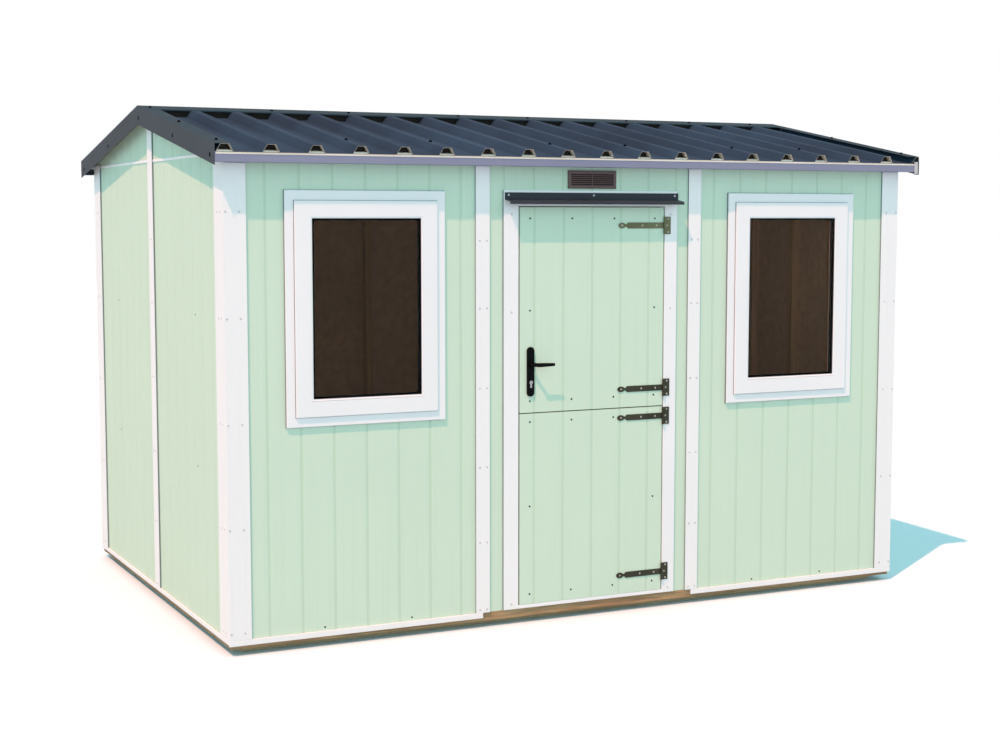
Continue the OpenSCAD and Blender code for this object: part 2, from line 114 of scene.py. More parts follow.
def far_lamp(name, way, energy, colour, spread):
    """Parallel light that travels one way, softened by its spread in degrees."""
    data = bpy.data.lights.new(name, "SUN")
    data.energy = energy
    data.color = colour
    data.angle = math.radians(spread)
    lamp = bpy.data.objects.new(name, data)
    lamp.rotation_euler = Vector(way).to_track_quat("-Z", "Y").to_euler()
    bpy.context.scene.collection.objects.link(lamp)


camera_data = bpy.data.cameras.new("camera")
camera = bpy.data.objects.new("camera", camera_data)
bpy.context.scene.collection.objects.link(camera)
camera.location = (-3.787, -7.982, 1.868)
camera.rotation_euler = (math.radians(84.623), 0, math.radians(-25.987))
camera_data.lens = 60.23
camera_data.sensor_width = 36
camera_data.clip_end = 200
bpy.context.scene.camera = camera
bpy.context.scene.view_settings.view_transform = "Standard"

far_lamp("sun", (0.473, 0.331, -1), 3.43, (1.0, 0.445, 0.327), 0.8)
far_lamp("fill", (-0.5, 0.8, -0.35), 0.32, (1.0, 0.96, 0.94), 80)

horizon_light, overhead_light = 1.3, 0.55
sky = bpy.data.worlds.new("sky")
bpy.context.scene.world = sky
sky.use_nodes = True
sky_tree = sky.node_tree
sky_tree.nodes.clear()
sky_seen = add_node(sky_tree, "Background", Color=(1, 1, 1, 1))
sky_light = add_node(sky_tree, "Background", Color=(0.585, 0.93, 0.99, 1))
sky_way = add_node(sky_tree, "TexCoord")
sky_height = add_node(sky_tree, "SeparateXYZ")
sky_fade = add_node(sky_tree, "MapRange", To_Min=horizon_light, To_Max=overhead_light)
sky_mix = add_node(sky_tree, "MixShader")
sky_out = add_node(sky_tree, "OutputWorld")
wire(sky_tree,
     (sky_way.outputs["Generated"], sky_height.inputs[0]),
     (sky_height.outputs["Z"], sky_fade.inputs["Value"]),
     (sky_fade.outputs[0], sky_light.inputs["Strength"]),
     (seen_rays(sky_tree), sky_mix.inputs[0]),
     (sky_light.outputs[0], sky_mix.inputs[1]),
     (sky_seen.outputs[0], sky_mix.inputs[2]),
     (sky_mix.outputs[0], sky_out.inputs["Surface"]))

bpy.ops.object.select_all(action="DESELECT")
bpy.ops.mesh.primitive_plane_add(size=80)
floor = bpy.context.active_object
floor.name = "studio_floor"
floor_finish, floor_tree, floor_shader = finish_of("studio_floor", 0.9, shine=0.0)
floor_mix = add_mix(floor_tree, A=(0.45, 0.57, 0.62, 1), B=(0.74, 0.92, 0.98, 1))
wire(floor_tree,
     (seen_rays(floor_tree), floor_mix.inputs["Factor"]),
     (floor_mix.outputs["Result"], floor_shader.inputs["Base Color"]))
floor.data.materials.append(floor_finish)
floor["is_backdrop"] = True

# ---------------------------------------------------------------------------------------------
# Sawn softwood: bearers, plates, studs, rails, rafters and purlins are left pale, and the edge
# timbers are dipped brown. The grain runs along each length, and its tone changes in patches.


def shader_group(name, inputs, outputs):
    """Empty node group with its sockets: returns the tree, its input node and its output node."""
    tree = bpy.data.node_groups.new(name, "ShaderNodeTree")
    for label, kind, value in inputs:
        socket = tree.interface.new_socket(name=label, in_out="INPUT", socket_type=kind)
        socket.default_value = value
    for label, kind in outputs:
        tree.interface.new_socket(name=label, in_out="OUTPUT", socket_type=kind)
    return tree, tree.nodes.new("NodeGroupInput"), tree.nodes.new("NodeGroupOutput")


def grain_group():
    """Fibres drawn out along one axis: a mask from 0 to 1."""
    tree, given, made = shader_group(
        "grain",
        [("Stretch", "NodeSocketVector", (20, 20, 1)), ("Detail", "NodeSocketFloat", 6.0)],
        [("Mask", "NodeSocketFloat")],
    )
    place = add_node(tree, "TexCoord")
    stretch = add_node(tree, "VectorMath", "MULTIPLY")
    fibres = add_node(tree, "TexNoise", Scale=1.0)
    wire(tree,
         (place.outputs["Object"], stretch.inputs[0]),
         (given.outputs["Stretch"], stretch.inputs[1]),
         (stretch.outputs[0], fibres.inputs["Vector"]),
         (given.outputs["Detail"], fibres.inputs["Detail"]),
         (fibres.outputs["Fac"], made.inputs["Mask"]))
    return tree


def patches_group():
    """Slow change of colour over a surface, from one tone to another."""
    tree, given, made = shader_group(
        "patches",
        [("Tone", "NodeSocketColor", (1, 1, 1, 1)), ("Other Tone", "NodeSocketColor", (1, 1, 1, 1)),
         ("Scale", "NodeSocketFloat", 2.0)],
        [("Color", "NodeSocketColor")],
    )
    place = add_node(tree, "TexCoord")
    cloud = add_node(tree, "TexNoise", Detail=4.0)
    level = add_node(tree, "MapRange", From_Min=0.35, From_Max=0.65)
    mix = add_mix(tree)
    wire(tree,
         (place.outputs["Object"], cloud.inputs["Vector"]),
         (given.outputs["Scale"], cloud.inputs["Scale"]),
         (cloud.outputs["Fac"], level.inputs["Value"]),
         (level.outputs[0], mix.inputs["Factor"]),
         (given.outputs["Tone"], mix.inputs["A"]),
         (given.outputs["Other Tone"], mix.inputs["B"]),
         (mix.outputs["Result"], made.inputs["Color"]))
    return tree


grain = grain_group()
patches = patches_group()


def place_group(tree, group, **values):
    """Group node with its own values."""
    node = tree.nodes.new("ShaderNodeGroup")
    node.node_tree = group
    return set_inputs(node, values)


def tone(red, green, blue):
    """Colour as it is mixed on a screen, turned to the light it gives back."""
    parts = [c / 255 for c in (red, green, blue)]
    return [c / 12.92 if c <= 0.04045 else ((c + 0.055) / 1.055) ** 2.4 for c in parts] + [1]


def add_bump(tree, shader, height, depth):
    bump = add_node(tree, "Bump", Distance=depth)
    wire(tree, (height, bump.inputs["Height"]), (bump.outputs["Normal"], shader.inputs["Normal"]))


def grained(name, tones, stretch, roughness, depth, contrast=(0.35, 0.7), shine=0.5):
    """Fibres of the second tone over slow patches of the first and the third, raised a little."""
    light, dark, other = (tone(*parts) for parts in tones)
    material, tree, shader = finish_of(name, roughness, shine=shine)
    base = place_group(tree, patches, Tone=light, Other_Tone=other, Scale=1.7)
    fibres = place_group(tree, grain, Stretch=stretch)
    level = add_node(tree, "MapRange", From_Min=contrast[0], From_Max=contrast[1])
    mix = add_mix(tree, B=dark)
    wire(tree,
         (fibres.outputs["Mask"], level.inputs["Value"]),
         (level.outputs[0], mix.inputs["Factor"]),
         (base.outputs["Color"], mix.inputs["A"]),
         (mix.outputs["Result"], shader.inputs["Base Color"]))
    add_bump(tree, shader, fibres.outputs["Mask"], depth)
    return material


across, along = 70, 1.6
timber_tones = ((220, 196, 160), (190, 164, 128), (205, 180, 144))
timber_x = grained("timber_along_x", timber_tones, (along, across, across), 0.75, 0.0008)
timber_y = grained("timber_along_y", timber_tones, (across, along, across), 0.75, 0.0008)
timber_z = grained("timber_upright", timber_tones, (across, across, along), 0.75, 0.0008)
edge_timber = grained("edge_timber", ((184, 154, 114), (124, 98, 68), (162, 122, 88)),
                      (6, 40, 120), 0.75, 0.0008)


def dress(material, *names):
    """Gives CAD nodes a finish."""
    for name in names:
        mesh = nodes[name].data
        mesh.materials.clear()
        mesh.materials.append(material)


def soften(width, *names):
    """Rounds the sharp edges of CAD nodes, as a saw, plane or press leaves them."""
    for name in names:
        weld = nodes[name].modifiers.new("weld", "WELD")
        weld.merge_threshold = 0.00001
        bevel = nodes[name].modifiers.new("rounded_edges", "BEVEL")
        bevel.width = width
        bevel.segments = 2
        bevel.limit_method = "ANGLE"
        bevel.angle_limit = math.radians(40)


dress(timber_x, "floor_bearers", "floor_panel", "long_wall_plates", "opening_rails",
      "ridge_beam", "roof_purlins")
dress(edge_timber, "floor_edge_timbers")
dress(timber_y, "end_wall_plates", "gable_framing")
dress(timber_z, "front_wall_studs", "back_wall_studs", "end_wall_studs")
soften(0.002, "floor_edge_timbers", "floor_bearers", "long_wall_plates", "end_wall_plates",
       "front_wall_studs", "back_wall_studs", "end_wall_studs", "opening_rails", "roof_purlins",
       "ridge_beam")

# ---------------------------------------------------------------------------------------------
# Wall panels: composite boards pressed with shallow flat-bottomed grooves, pale mint outside and
# raw board inside. They are screwed to the studs, and butt together under the cover strips.

front_way, back_way = (0, -1, 0), (0, 1, 0)
left_way, right_way = (-1, 0, 0), (1, 0, 0)
board_pitch = 0.151
groove_w = 0.011
groove_flank = 0.0003
groove_depth = 0.0012
joint_gap = 0.001
saw_over = 0.05
flange_lap = 0.005

board_grain = (95, 95, 1.1)
mint = grained("mint_board", ((207, 227, 208), (202, 222, 203), (205, 225, 206)),
               board_grain, 0.62, 0.00035, (0.5, 0.85), shine=0.02)
# The groove floors get a darker mint: painted shade for the dim inside of each groove.
mint_painted_groove_shade = grained("mint_painted_groove_shade", ((198, 220, 199), (193, 215, 194), (196, 218, 197)),
                      board_grain, 0.7, 0.00035, (0.5, 0.85), shine=0.02)
raw_board = grained("raw_board", ((224, 204, 178), (204, 184, 158), (214, 194, 168)),
                    (30, 30, 22), 0.85, 0.0004)

door_low, door_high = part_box("door_frame")
head_low, head_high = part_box("door_head_wall_panel")
left_low, left_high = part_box("left_wall_panels")
right_low, right_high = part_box("right_wall_panels")
gable_low, gable_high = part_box("gable_panels")
front_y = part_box("front_left_wall_panel")[0].y
joint_left, joint_right = head_low.x, head_high.x
left_bay, middle_bay, right_bay = -1.126, -0.006, 1.113
slope = math.radians(10.1)


def pick(obj):
    bpy.ops.object.select_all(action="DESELECT")
    obj.select_set(True)
    bpy.context.view_layer.objects.active = obj


def edit(obj):
    """Opens a mesh for work; done() closes it."""
    pick(obj)
    bpy.ops.object.mode_set(mode="EDIT")


def done():
    bpy.ops.object.mode_set(mode="OBJECT")


def choose_faces(obj, wanted):
    """Opens a mesh with the faces selected that wanted(centre, normal) says."""
    edit(obj)
    bpy.ops.mesh.select_mode(type="FACE")
    bpy.ops.mesh.select_all(action="DESELECT")
    done()
    for face in obj.data.polygons:
        face.select = bool(wanted(face.center, face.normal))
    bpy.ops.object.mode_set(mode="EDIT")


def block(name, low, high):
    """Cuboid between two corners, with its place in its mesh."""
    bpy.ops.object.select_all(action="DESELECT")
    middle = [(a + b) / 2 for a, b in zip(low, high)]
    size = [b - a for a, b in zip(low, high)]
    bpy.ops.mesh.primitive_cube_add(size=1, location=middle, scale=size)
    obj = bpy.context.active_object
    obj.name = name
    bpy.ops.object.transform_apply(location=True, rotation=True, scale=True)
    return obj


def saw_through(obj, planes, **keep):
    """Cuts the whole mesh at each (point, way); what is kept of it is up to bisect's options."""
    edit(obj)
    for point, way in planes:
        bpy.ops.mesh.select_all(action="SELECT")
        bpy.ops.mesh.bisect(plane_co=point, plane_no=way, **keep)
    done()


def cut_away(obj, tool):
    """Takes the tool's shape out of a piece, and puts the tool away."""
    pick(obj)
    cut = obj.modifiers.new("cut", "BOOLEAN")
    cut.operation = "DIFFERENCE"
    cut.solver = "EXACT"
    cut.object = tool
    bpy.ops.object.modifier_apply(modifier=cut.name)
    bpy.data.objects.remove(tool)


def join(name, parts):
    bpy.ops.object.select_all(action="DESELECT")
    for part in parts:
        part.select_set(True)
    bpy.context.view_layer.objects.active = parts[0]
    if len(parts) > 1:
        bpy.ops.object.join()
    parts[0].name = name
    parts[0].data.name = name
    return parts[0]


def settle(obj, body, slot, *materials):
    """Last step of each new piece: finish and the body that it moves with. The slot is not used."""
    obj.data.materials.clear()
    for material in materials:
        obj.data.materials.append(material)
    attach(obj, body)
    return obj


def board_lines(centre):
    """Places of the grooves either side of the middle line of a bay."""
    return [centre + k * board_pitch for k in range(-3, 4)]


def press_grooves(obj, axis, centres, outward):
    """Presses grooves across an axis into the face that looks outward."""
    outward = Vector(outward)
    ends = [v.co[axis] for v in obj.data.vertices]
    centres = [c for c in centres if min(ends) + groove_w < c < max(ends) - groove_w]
    if not centres:
        return
    along_wall = Vector((axis == 0, axis == 1, 0))
    half = groove_w / 2
    floor_half = half - groove_flank
    saw_through(obj, [(along_wall * (c + d), along_wall)
                      for c in centres for d in (-half, -floor_half, floor_half, half)])
    choose_faces(obj, lambda at, n: n.dot(outward) > 0.9
                 and any(abs(at[axis] - c) < floor_half for c in centres))
    bpy.ops.transform.translate(value=-outward * groove_depth)
    done()


def paint_boards(obj, body, inward):
    """Mint boards with a darker mint painted on the groove floors as painted shade, and raw board
    turned to the room.
    """
    settle(obj, body, "wall_panel", mint, raw_board, mint_painted_groove_shade)
    inward = Vector(inward)
    front = min(face.center.dot(inward) for face in obj.data.polygons)
    for face in obj.data.polygons:
        depth = face.center.dot(inward) - front
        # Faces just below the front, on the groove floors, take the painted groove shade.
        groove_shade_face = 0.0001 < depth < 0.002
        face.material_index = 1 if face.normal.dot(inward) > 0.9 else 2 if groove_shade_face else 0


def paint_end_boards(obj):
    """Mint boards of both ends, with raw board turned to the room."""
    settle(obj, "building", "wall_panel", mint, raw_board)
    for face in obj.data.polygons:
        inward = face.normal.x if face.center.x < 0 else -face.normal.x
        face.material_index = 1 if inward > 0.9 else 0


for node, bay, window_frame in (("front_left_wall_panel", left_bay, "left_window_frame"),
                                ("front_right_wall_panel", right_bay, "right_window_frame")):
    low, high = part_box(node)
    hole_low, hole_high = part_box(window_frame)
    panel = block(node + "_board", low, high)
    press_grooves(panel, 0, board_lines(bay), front_way)
    cut_away(panel, block(
        "saw", (hole_low.x + flange_lap, low.y - saw_over, hole_low.z + flange_lap),
        (hole_high.x - flange_lap, high.y + saw_over, hole_high.z - flange_lap)))
    paint_boards(panel, "building", back_way)
    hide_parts(node)

head_board = block("door_head_board", head_low, head_high)
press_grooves(head_board, 0, board_lines(middle_bay), front_way)
paint_boards(head_board, "building", back_way)
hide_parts("door_head_wall_panel")

low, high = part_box("door_side_wall_panels")
side_board = join("door_side_boards", [
    block("door_side_board", low, (door_low.x, high.y, high.z)),
    block("door_side_board", (door_high.x, low.y, low.z), high)])
press_grooves(side_board, 0, board_lines(middle_bay), front_way)
paint_boards(side_board, "building", back_way)
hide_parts("door_side_wall_panels")

low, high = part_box("back_wall_panels")
back_boards = []
for start, end, bay in ((low.x, joint_left - joint_gap, left_bay),
                        (joint_left, joint_right, middle_bay),
                        (joint_right + joint_gap, high.x, right_bay)):
    board = block("back_board", (start, low.y, low.z), (end, high.y, high.z))
    press_grooves(board, 0, board_lines(bay), back_way)
    back_boards.append(board)
back_board = join("back_wall_boards", back_boards)
paint_boards(back_board, "building", front_way)
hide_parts("back_wall_panels")

# End walls: two boards side by side up to the gable joint, and a half gable over each.
end_first, end_pitch = 0.097, 0.1505
end_lines = [s * (end_first + k * end_pitch) for s in (-1, 1) for k in range(7)]


def end_boards(name, node, outward):
    """The two boards of one end wall."""
    low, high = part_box(node)
    boards = []
    for near, far in ((low.y, -joint_gap / 2), (joint_gap / 2, high.y)):
        board = block("end_board", (low.x, near, low.z), (high.x, far, high.z))
        press_grooves(board, 1, end_lines, outward)
        boards.append(board)
    made = join(name, boards)
    paint_end_boards(made)
    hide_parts(node)


end_boards("left_end_boards", "left_wall_panels", left_way)
end_boards("right_end_boards", "right_wall_panels", right_way)

gables = []
for x0, x1, outward in ((left_low.x, left_high.x, left_way),
                        (right_low.x, right_high.x, right_way)):
    for side in (-1, 1):
        near, far = sorted((side * joint_gap / 2, side * gable_high.y))
        gable = block("gable_board", (x0, near, gable_low.z), (x1, far, gable_high.z))
        top = (0, side * joint_gap / 2, gable_high.z)
        saw_through(gable, [(top, (0, side * math.sin(slope), math.cos(slope)))],
                    use_fill=True, clear_outer=True)
        press_grooves(gable, 1, end_lines, outward)
        gables.append(gable)
gable_board = join("gable_boards", gables)
paint_end_boards(gable_board)
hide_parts("gable_panels")

# ---------------------------------------------------------------------------------------------
# Base trims, corner trims and cover strips: white composite, planed smooth, with eased edges.
# Each is fixed by countersunk screws with pale painted heads, in pairs up its length.

white_trim = grained("white_trim", ((239, 238, 239), (234, 233, 235), (237, 236, 238)),
                     (60, 60, 1.4), 0.5, 0.0002, (0.5, 0.85), shine=0.9)
white_nodes = ("base_trims", "corner_trims", "cover_strips", "end_cover_strips",
               "gable_joint_strips")
dress(white_trim, *white_nodes)
soften(0.0015, *white_nodes)


def plain_finish(name, colour, other, roughness, metallic=0.0, scale=40.0, depth=0.0001, shine=0.5):
    """Finish of fine speckle over slow patches, for metal, paint and plastic."""
    material, tree, shader = finish_of(name, roughness, metallic, shine)
    base = place_group(tree, patches, Tone=tone(*colour), Other_Tone=tone(*other), Scale=scale / 12)
    speck = place_group(tree, grain, Stretch=(scale * 8, scale * 8, scale * 8), Detail=3.0)
    wire(tree, (base.outputs["Color"], shader.inputs["Base Color"]))
    add_bump(tree, shader, speck.outputs["Mask"], depth)
    return material


cut_edge = plain_finish("cut_edge", (120, 140, 142), (110, 130, 132), 0.8)


def show_cut(node, wanted):
    """The sawn edges of a board show its grey core."""
    mesh = nodes[node].data
    mesh.materials.append(cut_edge)
    for face in mesh.polygons:
        if wanted(face.center, face.normal):
            face.material_index = 1


trim_low, trim_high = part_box("corner_trims")
strip_low, strip_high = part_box("cover_strips")
from_corner = 0.05
show_cut("cover_strips", lambda at, n: abs(n.x) > 0.9)
show_cut("end_cover_strips", lambda at, n: abs(n.y) > 0.9)
show_cut("corner_trims", lambda at, n: (abs(n.x) > 0.9 and abs(at.x) < trim_high.x - from_corner)
         or (abs(n.y) > 0.9 and abs(at.y) < trim_high.y - from_corner))


def rod(name, radius, length, middle, turn=(0, 0, 0), sides=16):
    """Round bar about a point, upright unless turned, with its place in its mesh."""
    bpy.ops.object.select_all(action="DESELECT")
    bpy.ops.mesh.primitive_cylinder_add(vertices=sides, radius=radius, depth=length,
                                        location=middle, rotation=turn)
    obj = bpy.context.active_object
    obj.name = name
    bpy.ops.object.transform_apply(location=True, rotation=True, scale=True)
    return obj


def screw(name, radius, height, recess):
    """Screw head looking up +Z: a low dome with a drive pressed into it."""
    head = rod(name, radius, height, (0, 0, height / 2), sides=12)
    choose_faces(head, lambda at, n: n.z > 0.9)
    bpy.ops.mesh.inset(thickness=radius * 0.3, depth=height * 0.35)
    bpy.ops.mesh.inset(thickness=radius * 0.3, depth=0)
    bpy.ops.mesh.inset(thickness=radius * 0.02, depth=-recess)
    done()
    return head


def fasten(name, head, places, body, slot, *materials):
    """One copy of a head at each (point, way it faces), joined into a piece."""
    copies = []
    for point, way in places:
        copy = head.copy()
        copy.data = head.data.copy()
        bpy.context.scene.collection.objects.link(copy)
        turn = Vector((0, 0, 1)).rotation_difference(Vector(way)).to_matrix().to_4x4()
        copy.data.transform(Matrix.Translation(point) @ turn)
        copies.append(copy)
    return settle(join(name, copies), body, slot, *materials)


painted_screw = plain_finish("painted_screw", (214, 212, 217), (200, 198, 204), 0.5)
trim_screw = screw("trim_screw", 0.0052, 0.0008, 0.0008)
corner_heights = (0.098, 0.546, 0.995, 1.444, 1.892)
strip_heights = (0.085, 0.395, 0.741, 1.101, 1.461, 1.764)
front_pair = (0.010, 0.070)
end_pair = (0.047, 0.087)
strip_pair = (-0.0155, 0.0195)
end_strip_pair = (-0.015, 0.015)
trim_places = []
for z in corner_heights:
    for x, away in ((trim_low.x, 1), (trim_high.x, -1)):
        for off in front_pair:
            trim_places.append(((x + away * off, trim_low.y, z), front_way))
            trim_places.append(((x + away * off, trim_high.y, z), back_way))
        for y, inward in ((trim_low.y, 1), (trim_high.y, -1)):
            trim_places += [((x, y + inward * off, z), (-away, 0, 0)) for off in end_pair]
for z in strip_heights:
    for x in (joint_left, joint_right):
        for off in strip_pair:
            trim_places.append(((x + off, strip_low.y, z), front_way))
            trim_places.append(((x + off, strip_high.y, z), back_way))
    for x, way in ((trim_low.x, left_way), (trim_high.x, right_way)):
        trim_places += [((x, off, z), way) for off in end_strip_pair]
fasten("trim_screws", trim_screw, trim_places, "building", "white_trim", painted_screw)

panel_screw = screw("panel_screw", 0.0042, 0.0006, 0.0005)
dark_screw = plain_finish("dark_screw", (16, 34, 32), (26, 44, 42), 0.6, shine=0.2)
panel_places = []
for middle in (-1.122, 1.115):
    for off in (-0.206, 0.206):
        panel_places.append(((middle + off, front_y, 0.085), front_way))
        panel_places.append(((middle + off, -front_y, 0.085), back_way))
for x, way in ((left_low.x, left_way), (right_high.x, right_way)):
    panel_places += [((x, y, z), way) for y in (-0.730, 0.730) for z in (0.762, 1.440)]
fasten("panel_screws", panel_screw, panel_places, "building", "black_metal", dark_screw)

# ---------------------------------------------------------------------------------------------
# Windows: white plastic frames set in the wall with a flange over the board, a fixed sash with a
# welded face, a sloping glazing bead, and black gaskets round a sealed unit of two panes.

window_plastic = plain_finish("window_plastic", (240, 239, 241), (236, 236, 239), 0.28,
                              scale=20.0, depth=0.00003)
gasket = plain_finish("gasket", (30, 30, 32), (42, 42, 44), 0.6)
grey_seal = plain_finish("grey_seal", (128, 138, 142), (120, 130, 134), 0.75, shine=0.2)
spacer_metal = plain_finish("spacer_bar", (30, 34, 42), (24, 28, 34), 0.5)

clear_glass, glass_tree, glass_shader = finish_of("clear_glass", 0.0, shine=0.05)
set_inputs(glass_shader, {"Base Color": (1.0, 0.95, 0.89, 1), "Transmission Weight": 1.0,
                          "IOR": 1.12})
haze = place_group(glass_tree, patches, Tone=(0.01, 0.01, 0.01, 1),
                   Other_Tone=(0.04, 0.04, 0.04, 1), Scale=3.0)
wire(glass_tree, (haze.outputs["Color"], glass_shader.inputs["Roughness"]))

flange_ease = 0.003
frame_border = 0.100
body_lap = 0.0104
lite = (0.503, 0.773)
bead_w = 0.009
bead_line = 0.0003
gasket_w = 0.0015
seal_rim = 0.004
spacer_w = 0.016
pane = 0.004
cap_half_w, cap_half_h = 0.017, 0.004


def round_off(obj, width, segments=2):
    """Rounds the edges of a piece."""
    pick(obj)
    edge = obj.modifiers.new("edge", "BEVEL")
    edge.width = width
    edge.segments = segments
    bpy.ops.object.modifier_apply(modifier=edge.name)
    return obj


def grown(size, by, y):
    """A step of a ring: a (width, height) made larger by an amount, at depth y."""
    return size[0] + by, size[1] + by, y


def ring(name, centre, back, *steps):
    """Rectangular ring in the wall plane, from depth back to its front. The first of its steps
    (width, height, y) is the outer edge, the next follow on the front, the last is the opening."""
    x, z = centre
    width, height, face = steps[0]
    open_w, open_h, _ = steps[-1]
    nip = 0.0005
    made = block(name, (x - width / 2, face, z - height / 2), (x + width / 2, back, z + height / 2))
    choose_faces(made, lambda at, n: n.y < -0.9)
    for (w0, h0, y0), (w1, h1, y1) in zip(steps, steps[1:]):
        bpy.ops.mesh.inset(thickness=nip, depth=0)
        bpy.ops.transform.resize(value=(w1 / (w0 - 2 * nip), 1, h1 / (h0 - 2 * nip)),
                                 center_override=(x, y0, z))
        bpy.ops.transform.translate(value=(0, y1 - y0, 0))
    done()
    choose_faces(made, lambda at, n: n.y > 0.9)
    bpy.ops.mesh.inset(thickness=nip, depth=0)
    bpy.ops.transform.resize(value=(open_w / (width - 2 * nip), 1, open_h / (height - 2 * nip)),
                             center_override=(x, back, z))
    done()
    choose_faces(made, lambda at, n: abs(n.y) > 0.9
                 and abs(at.x - x) < 0.01 and abs(at.z - z) < 0.01)
    bpy.ops.mesh.bridge_edge_loops()
    done()
    return made


def window(side):
    """One window: frame, sash, gasket, seals, spacer bar and drain caps. Returns its two panes."""
    frame_low, frame_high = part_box(side + "_window_frame")
    sash_low, sash_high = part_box(side + "_window_sash")
    glass_low, glass_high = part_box("window_glass")
    middle = ((frame_low.x + frame_high.x) / 2, (frame_low.z + frame_high.z) / 2)
    sash_middle = (middle[0], (sash_low.z + sash_high.z) / 2)
    outside = (frame_high.x - frame_low.x, frame_high.z - frame_low.z)
    hole = (outside[0] - frame_border, outside[1] - frame_border)
    sash = (sash_high.x - sash_low.x, sash_high.z - sash_low.z)
    bead = (lite[0] + 2 * bead_w, lite[1] + 2 * bead_w)
    face, sash_face = frame_low.y, sash_low.y
    glass_front, glass_back = glass_low.y, glass_high.y

    outer = join(side + "_window_outer_frame", [
        ring("flange", middle, front_y, grown(outside, 0, face + flange_ease),
             grown(outside, -2 * flange_ease, face), grown(hole, 0, face)),
        ring("body", middle, frame_high.y,
             grown(outside, -body_lap, front_y), grown(hole, 0, front_y))])
    settle(outer, "building", "white_trim", window_plastic, grey_seal)
    for part in outer.data.polygons:
        part.material_index = 1 if part.normal.x < -0.9 and part.center.y < front_y else 0
    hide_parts(side + "_window_frame")

    leaf = join(side + "_window_sash_frame", [
        ring("lip", sash_middle, face, grown(sash, 0, sash_face + 0.0025),
             grown(sash, -0.003, sash_face + 0.0005), grown(sash, -0.006, sash_face),
             grown(bead, 2 * bead_line, sash_face)),
        ring("core", middle, sash_high.y, grown(hole, -0.001, face), grown(lite, 0, face)),
        ring("bead", middle, glass_front, grown(bead, 0, sash_face + bead_line),
             grown(bead, -0.003, sash_face + bead_line), grown(lite, 0.003, sash_face + 0.0022),
             grown(lite, 0, glass_front - 0.0003))])
    settle(leaf, "building", "white_trim", window_plastic)
    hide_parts(side + "_window_sash")

    seal = ring("seal", middle, glass_front, grown(lite, 0.002, glass_front - 0.0012),
                grown(lite, -2 * gasket_w, glass_front - 0.0004))
    settle(join(side + "_glazing_gasket", [seal]), "building", "black_metal", gasket)
    sash_seal = ring("sash_seal", sash_middle, face, grown(sash, seal_rim, face - 0.0008),
                     grown(sash, seal_rim - 0.001, face - 0.0016), grown(sash, 0, face - 0.0016))
    sealant = ring("sealant", middle, front_y, grown(outside, 0.003, front_y - 0.0010),
                   grown(outside, 0, front_y - 0.0040))
    settle(join(side + "_frame_seals", [sash_seal, sealant]), "building", "black_metal", grey_seal)
    spacer = ring("spacer", middle, glass_back - pane, grown(lite, 0, glass_front + pane),
                  grown(lite, -spacer_w, glass_front + pane))
    settle(join(side + "_spacer_bar", [spacer]), "building", "black_metal", spacer_metal)

    caps = []
    for off in (-0.195, 0.205):
        x, z = middle[0] + off, 1.001
        cap = block("cap", (x - cap_half_w, face - 0.0018, z - cap_half_h),
                    (x + cap_half_w, face, z + cap_half_h))
        choose_faces(cap, lambda at, n: n.y < -0.9)
        bpy.ops.mesh.inset(thickness=0.0022, depth=0.0006)
        done()
        caps.append(cap)
    settle(join(side + "_drain_caps", caps), "building", "white_trim", window_plastic)

    return [round_off(block("pane", (middle[0] - lite[0] / 2, y0, middle[1] - lite[1] / 2),
                            (middle[0] + lite[0] / 2, y1, middle[1] + lite[1] / 2)), 0.0006, 1)
            for y0, y1 in ((glass_front, glass_front + pane), (glass_back - pane, glass_back))]


glazing = join("window_panes", window("left") + window("right"))
settle(glazing, "building", "glazing", clear_glass)
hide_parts("window_glass")

# ---------------------------------------------------------------------------------------------
# Door frame: white jambs, head and threshold screwed to the door studs, rebated for the leaves,
# with a black compression seal in the rebate and a steel keep where the latch goes.

dress(window_plastic, "door_frame")
soften(0.002, "door_frame")
show_cut("door_frame", lambda at, n: abs(n.x) > 0.9
         and not door_low.x + 0.01 < at.x < door_high.x - 0.01)
jamb_places = [((x, door_low.y, z), front_way)
               for x in (-0.423, 0.417) for z in (0.094, 1.440, 1.883)]
fasten("jamb_screws", trim_screw, jamb_places, "building", "white_trim", painted_screw)

leaf_low, leaf_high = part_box("upper_door_leaf")
low_leaf_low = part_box("lower_door_leaf")[0]
steel = plain_finish("bright_steel", (190, 192, 194), (160, 162, 166), 0.28, 1.0)
run, side_run = 0.005, 0.007
stop_y = leaf_high.y + run
opening_left, opening_right = leaf_low.x - side_run, leaf_high.x + side_run


def bead_strip(name, low, high):
    """Length of rubber with a rounded face."""
    return round_off(block(name, low, high), 0.0013, 3)


seal_w, seal_t, seal_in = 0.010, 0.003, 0.003
seal_left, seal_right = opening_left + seal_in, opening_right - seal_in
seal_foot, seal_top = low_leaf_low.z, leaf_high.z + run - seal_in
seal_parts = [bead_strip("seal", (x0, stop_y - seal_t, z0), (x1, stop_y, seal_top))
              for x0, x1, z0 in ((seal_left, seal_left + seal_w, seal_foot),
                                 (seal_right - seal_w, seal_right, seal_foot),
                                 (seal_left, seal_right, seal_top - seal_w))]
settle(join("door_seal", seal_parts), "building", "black_metal", gasket)
bar_z = low_leaf_low.z - run
weather_bar = bead_strip("weather_bar", (opening_left, leaf_low.y + 0.0005, bar_z - 0.001),
                         (opening_right, leaf_low.y + 0.006, bar_z + 0.0042))
settle(weather_bar, "building", "white_trim", window_plastic)

plate_low, plate_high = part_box("handle_plates")
handle_x = (plate_low.x + plate_high.x) / 2
spindle_z = 1.200
keep_t = 0.0012
keep = block("door_keep", (opening_left, leaf_low.y + 0.010, spindle_z - 0.090),
             (opening_left + keep_t, leaf_low.y + 0.034, spindle_z + 0.040))
for z0, z1 in ((-0.014, 0.014), (-0.076, -0.050)):
    cut_away(keep, block("saw", (opening_left - 0.01, leaf_low.y + 0.015, spindle_z + z0),
                         (opening_left + 0.01, leaf_low.y + 0.029, spindle_z + z1)))
settle(keep, "building", "black_metal", steel)

